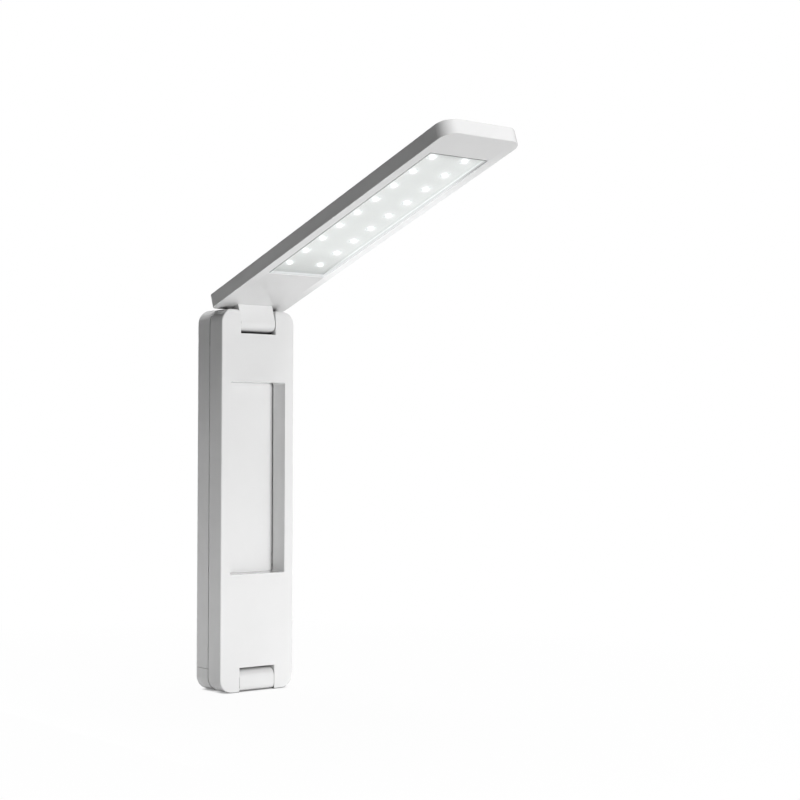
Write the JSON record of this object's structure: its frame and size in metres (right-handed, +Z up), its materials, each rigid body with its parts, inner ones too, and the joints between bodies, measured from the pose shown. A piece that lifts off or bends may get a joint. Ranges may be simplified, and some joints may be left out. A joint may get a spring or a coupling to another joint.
{
  "type": "folding led desk lamp",
  "caption": "Slim pocket-fold desk lamp: weighted battery base, windowed folding arm and a flat lit head on friction hinges, with a push button.",
  "frame": {"origin": "middle of the lower end face that the folded base and arm stand on", "axes": "+Z up along the arm and base, -Y the front, towards which the head reaches, +X to the right seen from the front"},
  "size_m": [0.04, 0.1821, 0.2417],
  "materials": {
    "white_plastic": "satin gloss moulded",
    "button_plastic": "satin",
    "clear_plastic": "clear polished",
    "white_board": "solder mask, satin",
    "reflector": "matte white",
    "circuit_board": "solder mask, satin",
    "black_plastic": "matte",
    "steel": "zinc plated",
    "nickel": "nickel plated",
    "ballast": "rolled",
    "cell": "foil pouch",
    "rubber": "matte",
    "lead": "smooth insulation",
    "nylon": "smooth",
    "foam": "closed cell, white",
    "led": "phosphor dome, lit"
  },
  "bodies": {
    "base": {"base_frame": "white_plastic", "base_back_cover": "white_plastic", "base_screws": "steel", "base_lead": "lead", "ballast_plate": "ballast", "ballast_weight": "ballast", "battery_cell": "cell", "cell_tabs": "nickel", "charge_board": "circuit_board", "charge_parts": "black_plastic", "usb_socket": "nickel", "socket_tongue": "black_plastic", "charge_light_pipe": "clear_plastic", "rubber_feet": "rubber", "lower_friction_sleeve": "steel"},
    "arm": {"arm_front_shell": "white_plastic", "arm_back_shell": "white_plastic", "arm_screws": "steel", "arm_lead": "lead", "upper_hinge_pin": "steel", "lower_hinge_pin": "steel", "upper_friction_washers": "nylon", "lower_friction_washers": "nylon"},
    "head": {"head_bottom_shell": "white_plastic", "head_top_shell": "white_plastic", "head_knuckle": "white_plastic", "knuckle_screws": "steel", "head_lead": "lead", "upper_friction_sleeve": "steel", "led_cover": "clear_plastic", "led_board": "white_board", "leds": "led", "led_reflector": "reflector", "board_rails": "foam", "chip_resistors": "black_plastic", "driver_chip": "black_plastic", "switch_body": "black_plastic"},
    "button": {"power_button": "button_plastic", "switch_plunger": "black_plastic"}
  },
  "joints": [
    {"name": "base_hinge", "type": "hinge", "parent": "base", "child": "arm", "pos_m": [0, -0.00515, 0.00535], "axis": [1, 0, 0], "range_deg": [0, 90]},
    {"name": "head_hinge", "type": "hinge", "parent": "arm", "child": "head", "pos_m": [0, -0.00515, 0.17165], "axis": [1, 0, 0], "range_deg": [0, 109]},
    {"name": "power_button_press", "type": "slide", "parent": "head", "child": "button", "axis": [0, -0.3256, -0.9455], "range_m": [0, 0.0003], "stiffness_N_per_m": 3000, "springref_m": -0.0001}
  ]
}
